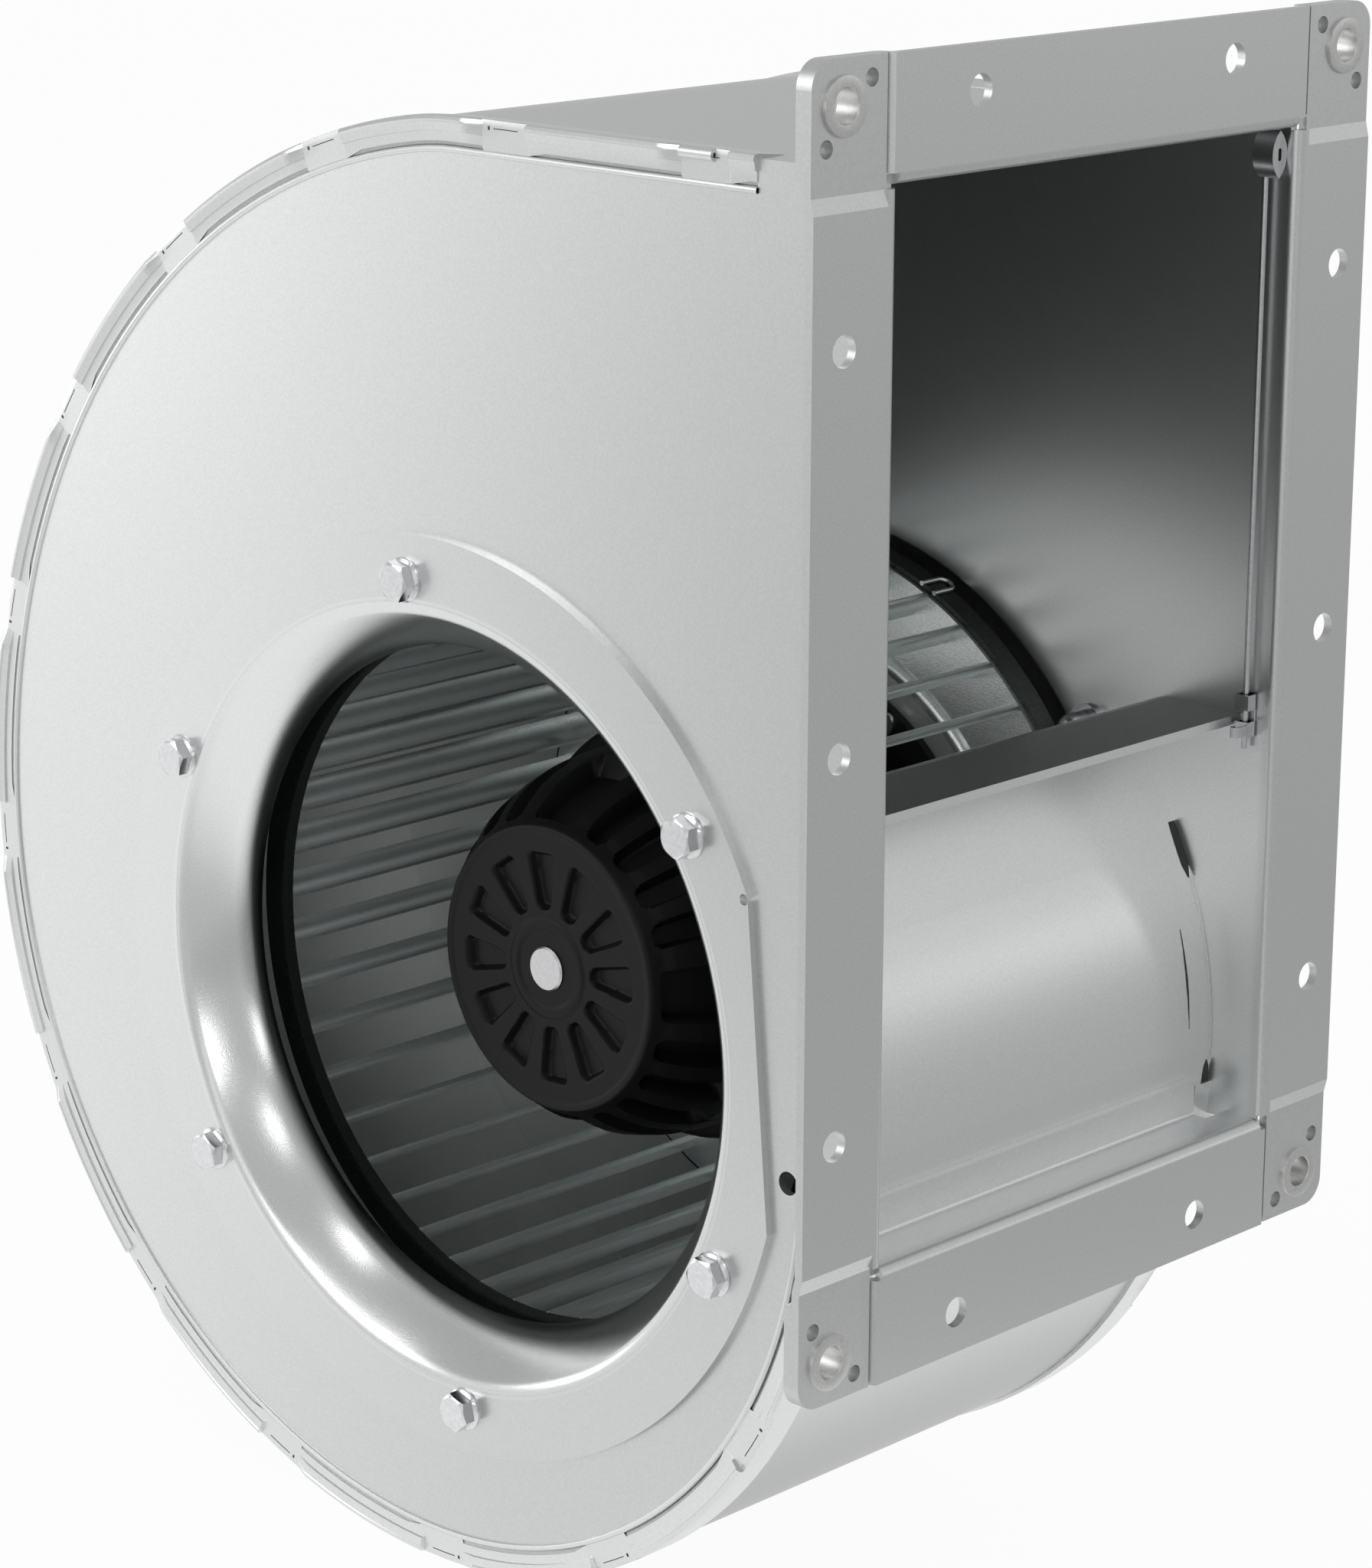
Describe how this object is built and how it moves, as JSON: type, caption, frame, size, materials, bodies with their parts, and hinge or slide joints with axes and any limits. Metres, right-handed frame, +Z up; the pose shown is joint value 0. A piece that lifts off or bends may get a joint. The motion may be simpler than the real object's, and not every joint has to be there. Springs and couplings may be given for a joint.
{
  "type": "centrifugal blower",
  "caption": "Single-inlet centrifugal blower: sheet-metal scroll casing with flanged outlet, bell-mouth inlet ring and forward-curved impeller on an external-rotor motor.",
  "frame": {"origin": "centre of the outlet flange's front face, which is also the centre of its corner bolt pattern", "axes": "+X out of the outlet, square to the flange; -Y towards the inlet side; +Z up, along the flange's long side"},
  "size_m": [0.3613, 0.218, 0.4412],
  "materials": {
    "galvanised_sheet": "matt zinc coat with fine grain",
    "seam_sheet": "folded zinc coated sheet, bright at the folds",
    "inlet_ring": "smooth pressed zinc coated sheet",
    "impeller_sheet": "dull zinc coated sheet with fine speckle",
    "zinc_fasteners": "clear zinc plate",
    "spring_steel": "bright wire and spring sheet",
    "rotor_black": "satin black coat",
    "bright_steel": "ground steel",
    "magnet": "matt",
    "cast_aluminium": "die cast",
    "core_steel": "stacked sheet",
    "copper": "varnished wire",
    "rubber": "moulded"
  },
  "bodies": {
    "housing": {"inlet_side_plate": "galvanised_sheet", "motor_side_plate": "galvanised_sheet", "scroll_wrap": "galvanised_sheet", "outlet_sill": "galvanised_sheet", "motor_plate": "galvanised_sheet", "inlet_seam_strip": "seam_sheet", "motor_seam_strip": "seam_sheet", "seam_clip": "seam_sheet", "inlet_ring": "inlet_ring", "inlet_bell": "inlet_ring", "inlet_ring_bolts": "zinc_fasteners", "motor_plate_bolts": "zinc_fasteners", "inlet_rivet_nuts": "zinc_fasteners", "motor_rivet_nuts": "zinc_fasteners", "corner_bushes": "zinc_fasteners", "stator_screws": "zinc_fasteners", "stay_rod": "spring_steel", "stay_clip": "spring_steel", "stay_eye": "spring_steel", "preload_washer": "spring_steel", "front_bearing": "bright_steel", "back_bearing": "bright_steel", "bearing_cover": "bright_steel", "stator_flange": "cast_aluminium", "stator_core": "core_steel", "windings": "copper", "cable_gland": "rubber"},
    "rotor": {"motor_cap": "rotor_black", "rotor_can": "rotor_black", "magnet_ring": "magnet", "shaft": "bright_steel", "shaft_circlip": "spring_steel", "impeller_blades": "impeller_sheet", "impeller_front_ring": "impeller_sheet", "impeller_back_disc": "impeller_sheet", "impeller_back_ring": "impeller_sheet", "impeller_rivets": "zinc_fasteners", "balance_clip": "spring_steel"}
  },
  "joints": [
    {"name": "impeller_spin", "type": "hinge", "parent": "housing", "child": "rotor", "pos_m": [-0.1629, 0, -0.1034], "axis": [0, 1, 0], "continuous": true}
  ]
}
